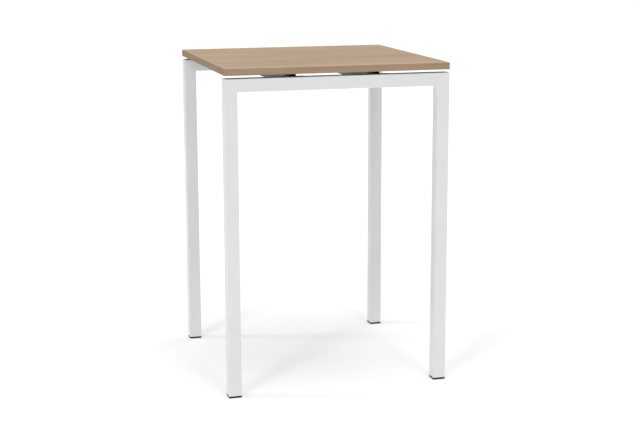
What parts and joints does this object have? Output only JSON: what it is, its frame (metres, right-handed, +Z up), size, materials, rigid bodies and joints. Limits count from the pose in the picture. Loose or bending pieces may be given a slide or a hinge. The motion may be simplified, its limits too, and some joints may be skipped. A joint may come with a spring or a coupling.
{
  "type": "standing meeting table",
  "caption": "Square standing-height meeting table: wood-decor top floating on spacers above two white square-tube portal frames with levelling feet",
  "frame": {"origin": "on the floor under the middle of the worktop", "axes": "+X to the right along the front, +Y to the back, +Z up"},
  "size_m": [0.8, 0.8, 1.15],
  "materials": {
    "wood_decor": "matt melamine wood decor, grain along X",
    "edge_decor": "matt plastic edge band in the same decor",
    "white_powder_coat": "white powder coat, fine satin",
    "black_powder_coat": "black powder coat, matt",
    "black_plastic": "moulded, matt",
    "zinc_steel": "zinc plated"
  },
  "bodies": {
    "table": {"worktop_panel": "wood_decor", "edge_band_front": "edge_decor", "edge_band_rear": "edge_decor", "edge_band_left": "edge_decor", "edge_band_right": "edge_decor", "front_beam": "white_powder_coat", "rear_beam": "white_powder_coat", "front_left_leg": "white_powder_coat", "front_right_leg": "white_powder_coat", "rear_left_leg": "white_powder_coat", "rear_right_leg": "white_powder_coat", "left_cross_rail": "black_powder_coat", "right_cross_rail": "black_powder_coat", "front_left_rail_flange": "black_powder_coat", "front_left_rail_bolt_a": "zinc_steel", "front_left_rivet_nut_a": "zinc_steel", "front_left_rail_bolt_b": "zinc_steel", "front_left_rivet_nut_b": "zinc_steel", "front_left_spacer": "black_plastic", "front_left_worktop_screw": "zinc_steel", "front_left_insert_nut": "zinc_steel", "front_left_foot_plug": "black_plastic", "front_right_rail_flange": "black_powder_coat", "front_right_rail_bolt_a": "zinc_steel", "front_right_rivet_nut_a": "zinc_steel", "front_right_rail_bolt_b": "zinc_steel", "front_right_rivet_nut_b": "zinc_steel", "front_right_spacer": "black_plastic", "front_right_worktop_screw": "zinc_steel", "front_right_insert_nut": "zinc_steel", "front_right_foot_plug": "black_plastic", "rear_left_rail_flange": "black_powder_coat", "rear_left_rail_bolt_a": "zinc_steel", "rear_left_rivet_nut_a": "zinc_steel", "rear_left_rail_bolt_b": "zinc_steel", "rear_left_rivet_nut_b": "zinc_steel", "rear_left_spacer": "black_plastic", "rear_left_worktop_screw": "zinc_steel", "rear_left_insert_nut": "zinc_steel", "rear_left_foot_plug": "black_plastic", "rear_right_rail_flange": "black_powder_coat", "rear_right_rail_bolt_a": "zinc_steel", "rear_right_rivet_nut_a": "zinc_steel", "rear_right_rail_bolt_b": "zinc_steel", "rear_right_rivet_nut_b": "zinc_steel", "rear_right_spacer": "black_plastic", "rear_right_worktop_screw": "zinc_steel", "rear_right_insert_nut": "zinc_steel", "rear_right_foot_plug": "black_plastic"},
    "front_left_pad": {"front_left_glide_pad": "black_plastic"},
    "front_left_screw": {"front_left_levelling_screw": "zinc_steel"},
    "front_right_pad": {"front_right_glide_pad": "black_plastic"},
    "front_right_screw": {"front_right_levelling_screw": "zinc_steel"},
    "rear_left_pad": {"rear_left_glide_pad": "black_plastic"},
    "rear_left_screw": {"rear_left_levelling_screw": "zinc_steel"},
    "rear_right_pad": {"rear_right_glide_pad": "black_plastic"},
    "rear_right_screw": {"rear_right_levelling_screw": "zinc_steel"}
  },
  "joints": [
    {"name": "front_left_pad_travel", "type": "slide", "parent": "table", "child": "front_left_pad", "axis": [0, 0, -1], "range_m": [0, 0.015]},
    {"name": "front_left_screw_turn", "type": "hinge", "parent": "front_left_pad", "child": "front_left_screw", "pos_m": [-0.3775, -0.3775, 0.02], "axis": [0, 0, -1], "range_deg": [-5, 3605]},
    {"name": "front_right_pad_travel", "type": "slide", "parent": "table", "child": "front_right_pad", "axis": [0, 0, -1], "range_m": [0, 0.015]},
    {"name": "front_right_screw_turn", "type": "hinge", "parent": "front_right_pad", "child": "front_right_screw", "pos_m": [0.3775, -0.3775, 0.02], "axis": [0, 0, -1], "range_deg": [-5, 3605]},
    {"name": "rear_left_pad_travel", "type": "slide", "parent": "table", "child": "rear_left_pad", "axis": [0, 0, -1], "range_m": [0, 0.015]},
    {"name": "rear_left_screw_turn", "type": "hinge", "parent": "rear_left_pad", "child": "rear_left_screw", "pos_m": [-0.3775, 0.3775, 0.02], "axis": [0, 0, -1], "range_deg": [-5, 3605]},
    {"name": "rear_right_pad_travel", "type": "slide", "parent": "table", "child": "rear_right_pad", "axis": [0, 0, -1], "range_m": [0, 0.015]},
    {"name": "rear_right_screw_turn", "type": "hinge", "parent": "rear_right_pad", "child": "rear_right_screw", "pos_m": [0.3775, 0.3775, 0.02], "axis": [0, 0, -1], "range_deg": [-5, 3605]}
  ],
  "couplings": [
    {"joint": "front_left_screw_turn", "follows": "front_left_pad_travel", "rad_per_m": 4188.8},
    {"joint": "front_right_screw_turn", "follows": "front_right_pad_travel", "rad_per_m": 4188.8},
    {"joint": "rear_left_screw_turn", "follows": "rear_left_pad_travel", "rad_per_m": 4188.8},
    {"joint": "rear_right_screw_turn", "follows": "rear_right_pad_travel", "rad_per_m": 4188.8}
  ]
}
